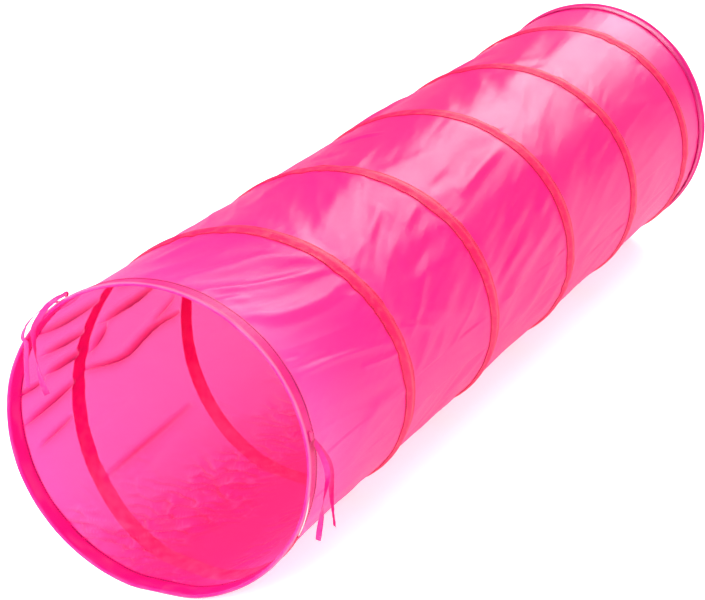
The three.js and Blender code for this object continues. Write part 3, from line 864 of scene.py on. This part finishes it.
# ------------------------------------------------------------------ the hems
def hem(name, end):
    at, way = (0.0, 1.0) if end == "near" else (L, -1.0)
    n = 900
    deg = np.linspace(-180, 180, n, endpoint=False)
    prof = np.array([
        [29.0, 225.75], [28.6, 226.2], [27.3, 226.2], [26, 225.85], [24.7, 226.2], [20, 226.35], [14, 226.4], [9.6, 226.6], [7.6, 226.9], [6.2, 227.6], [4.9, 228.8], [3.2, 229.5],
        [1.7, 229.1], [0.8, 228.2], [0.3, 226.8], [0.4, 225.2], [1.1, 224.1], [2.6, 223.45], [5.0, 223.4], [8.0, 223.25], [12, 223.05],
        [20, 223.0], [24.7, 223.0], [26, 223.3], [27.3, 223.0], [28.4, 223.05], [29.0, 223.5], [28.8, 224.15], [20, 224.05], [9.0, 224.1], [6.0, 224.35], [3.0, 224.5], [1.6, 224.8], [0.9, 226.8],
        [1.6, 228.2], [3.2, 228.8], [4.6, 228.2], [6.0, 226.9], [8.6, 225.6], [18, 225.35], [28.6, 225.4],
    ]) / 1000
    S, D = np.meshgrid(prof[:, 0], deg, indexing="xy")
    Rr = np.broadcast_to(prof[:, 1], S.shape).copy()
    arc = np.radians(D) * R
    # puckers drawn in by the stitch line, and a hem edge that isn't quite straight
    loose = sstep(0.010, 0.028, S)
    outer_side = np.zeros(len(prof), bool)
    outer_side[:12] = True
    outer_side[-4:] = True
    pk = 0.0003 * np.sin(arc / 0.0042 * 2 * math.pi) + 0.0009 * fbm(arc / 0.012, S / 0.05, 401 if end == "near" else 402, 2)
    Rr = Rr + np.where(outer_side[None], np.abs(pk), -np.abs(pk)) * loose
    S2 = S * (1 + loose * 0.06 * fbm(arc / 0.06, np.zeros_like(arc), 403 if end == "near" else 404, 2))
    roll = 0.0004 * fbm(arc / 0.05, S / 0.02, 405, 2) * (1 - loose)
    P = place((at + way * S2).ravel(), D.ravel(), (Rr + roll).ravel())
    P[:, 2] = np.maximum(P[:, 2], 0.0)
    F = grid_faces(n, len(prof), wrap_m=True, wrap_n=True)
    if way > 0:
        F = F[:, ::-1]
    run = np.concatenate([[0], np.cumsum(np.linalg.norm(np.diff(prof, axis=0), axis=1))])
    uv = np.stack([np.broadcast_to(run, S.shape).ravel(), arc.ravel()], -1)
    # painted shade along the stitch groove of the hem, darker at each stitch
    seam_line = np.exp(-(((S - 0.0260) / 0.0011) ** 2)) * (0.45 + 0.55 * (np.sin(arc / 0.0042 * 2 * math.pi) > -0.2))
    # rim_tone: a painted highlight along the outer crest of the rim bead, the stitch line's painted shade, and a random
    # mottle
    rim_tone = -0.75 * seam_line + 0.75 * np.exp(-(((S - 0.0020) / 0.0026) ** 2)) * sstep(0.2262, 0.2282, Rr) + 0.25 * fbm(arc / 0.03, S / 0.01, 407, 2)
    o = to_object(name, P, F, HEM, uv=uv, tone=rim_tone.ravel())
    ridden(o, f"{end}_end", "hem_cloth", f"{end}_rim_hem")
    # two rows of stitches, outside and inside
    t = np.arange(-180, 180, pitch_deg)
    parts = []
    for r, sign in ((0.22665, 1), (0.22290, -1)):
        c, al, ou = frame_at(lambda a: np.full_like(a, at + way * 0.0260), lambda a, r=r: np.full_like(a, r), t)
        parts.append((c, al, ou * sign))
    c, al, ou = (np.concatenate([p[k] for p in parts]) for k in range(3))
    c[:, 2] = np.maximum(c[:, 2], 0.0009)
    st = stitches(name + "_stitches", c, al, ou, 0.0031, 0.0010, THREAD)
    ridden(st, f"{end}_end", "hem_cloth")
    return o, st


near_hem, near_st = hem("near_hem", "near")
far_hem, far_st = hem("far_hem", "far")

for node, mat in (("near_rim_wire", STEEL), ("far_rim_wire", STEEL), ("near_rim_ferrule", CRIMP), ("far_rim_ferrule", CRIMP)):
    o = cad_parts[node]
    if not o.data.materials:
        o.data.materials.append(mat)
    for sl in o.material_slots:
        sl.material = mat

# ------------------------------------------------------------------ own mesh copies for the soft pieces
for o in (skin, tape, coil, tape_thread):
    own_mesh(o)

# ------------------------------------------------------------------ floor and lights
def floor():
    me = bpy.data.meshes.new("floor")
    k = 14
    me.from_pydata([(-k, -k, -0.0006), (k, -k, -0.0006), (k, k, -0.0006), (-k, k, -0.0006)], [], [(0, 1, 2, 3)])
    o = bpy.data.objects.new("floor", me)
    bpy.context.scene.collection.objects.link(o)
    m, nt, out = material("pale_floor")
    p = nt.nodes.new("ShaderNodeBsdfPrincipled")
    p.inputs["Base Color"].default_value = (0.93, 0.93, 0.93, 1)
    p.inputs["Roughness"].default_value = 0.7
    p.inputs["Specular IOR Level"].default_value = 0.1
    p.inputs["Emission Color"].default_value = (1, 1, 1, 1)
    p.inputs["Emission Strength"].default_value = 0.5
    nt.links.new(p.outputs[0], out.inputs["Surface"])
    me.materials.append(m)


floor()


def area(name, loc, target, size, power, color=(1, 1, 1), size_y=None):
    d = bpy.data.lights.new(name, "AREA")
    d.shape = "RECTANGLE"
    d.size, d.size_y = size, size_y or size
    d.energy, d.color = power, color
    o = bpy.data.objects.new(name, d)
    bpy.context.scene.collection.objects.link(o)
    o.location = loc
    o.rotation_euler = (Vector(target) - Vector(loc)).to_track_quat("-Z", "Y").to_euler()
    return o


world = bpy.data.worlds.new("studio")
bpy.context.scene.world = world
world.use_nodes = True
bg = world.node_tree.nodes["Background"]
bg.inputs["Color"].default_value = (1, 1, 1, 1)
bg.inputs["Strength"].default_value = 0.44

area("back_softbox", (7.0, -0.2, 3.9), (0.0, 0, 0.3), 4.2, 470, size_y=2.6)
area("top_softbox", (-0.5, 1.1, 3.3), (-0.5, 0, 0.2), 1.6, 52, size_y=1.4)
area("left_softbox", (-1.7, 2.8, 1.3), (-0.6, 0, 0.3), 1.5, 100)
area("front_softbox", (-0.6, -3.4, 2.2), (0.3, -0.3, 0.0), 2.6, 62)
area("mouth_softbox", (-3.6, -0.5, 1.7), (-0.6, 0, 0.05), 1.1, 125)

bpy.context.scene.view_settings.view_transform = "Standard"
